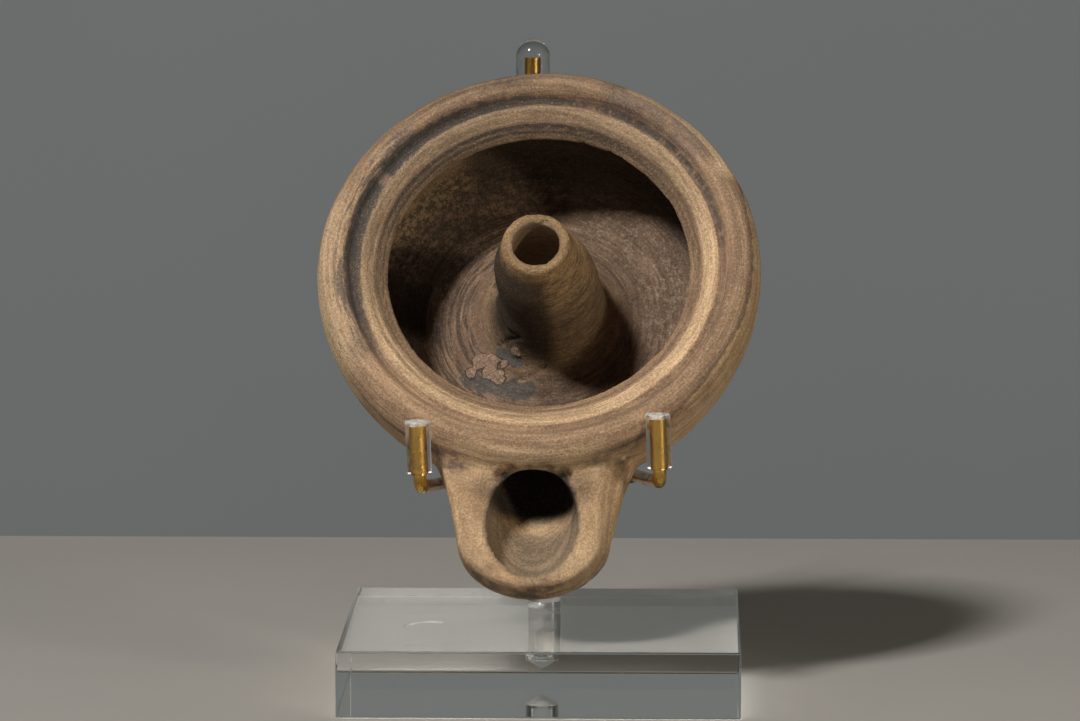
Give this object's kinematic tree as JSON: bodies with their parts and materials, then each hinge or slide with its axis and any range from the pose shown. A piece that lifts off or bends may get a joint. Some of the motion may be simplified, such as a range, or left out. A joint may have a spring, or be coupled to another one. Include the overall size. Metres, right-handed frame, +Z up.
{
  "type": "oil lamp on a display cradle",
  "caption": "Terracotta oil lamp with an open bowl, a hollow centre socket and a blunt wick nozzle, leaning in a bent brass cradle on a clear block.",
  "frame": {"origin": "centre of the underside of the clear block", "axes": "+Z up, -Y towards the front, where the nozzle points down and forward, +X to the right seen from the front"},
  "size_m": [0.0858, 0.0849, 0.1225],
  "materials": {
    "fired_clay": "matt, worn slip and dark paint",
    "clear_acrylic": "clear, polished",
    "polished_brass": "polished",
    "clear_vinyl": "clear, soft, slightly cloudy"
  },
  "bodies": {
    "root": {"lamp": "fired_clay", "acrylic_block": "clear_acrylic", "acrylic_rod": "clear_acrylic", "brass_cradle": "polished_brass", "sleeve_left": "clear_vinyl", "sleeve_right": "clear_vinyl", "sleeve_top": "clear_vinyl"}
  },
  "joints": []
}
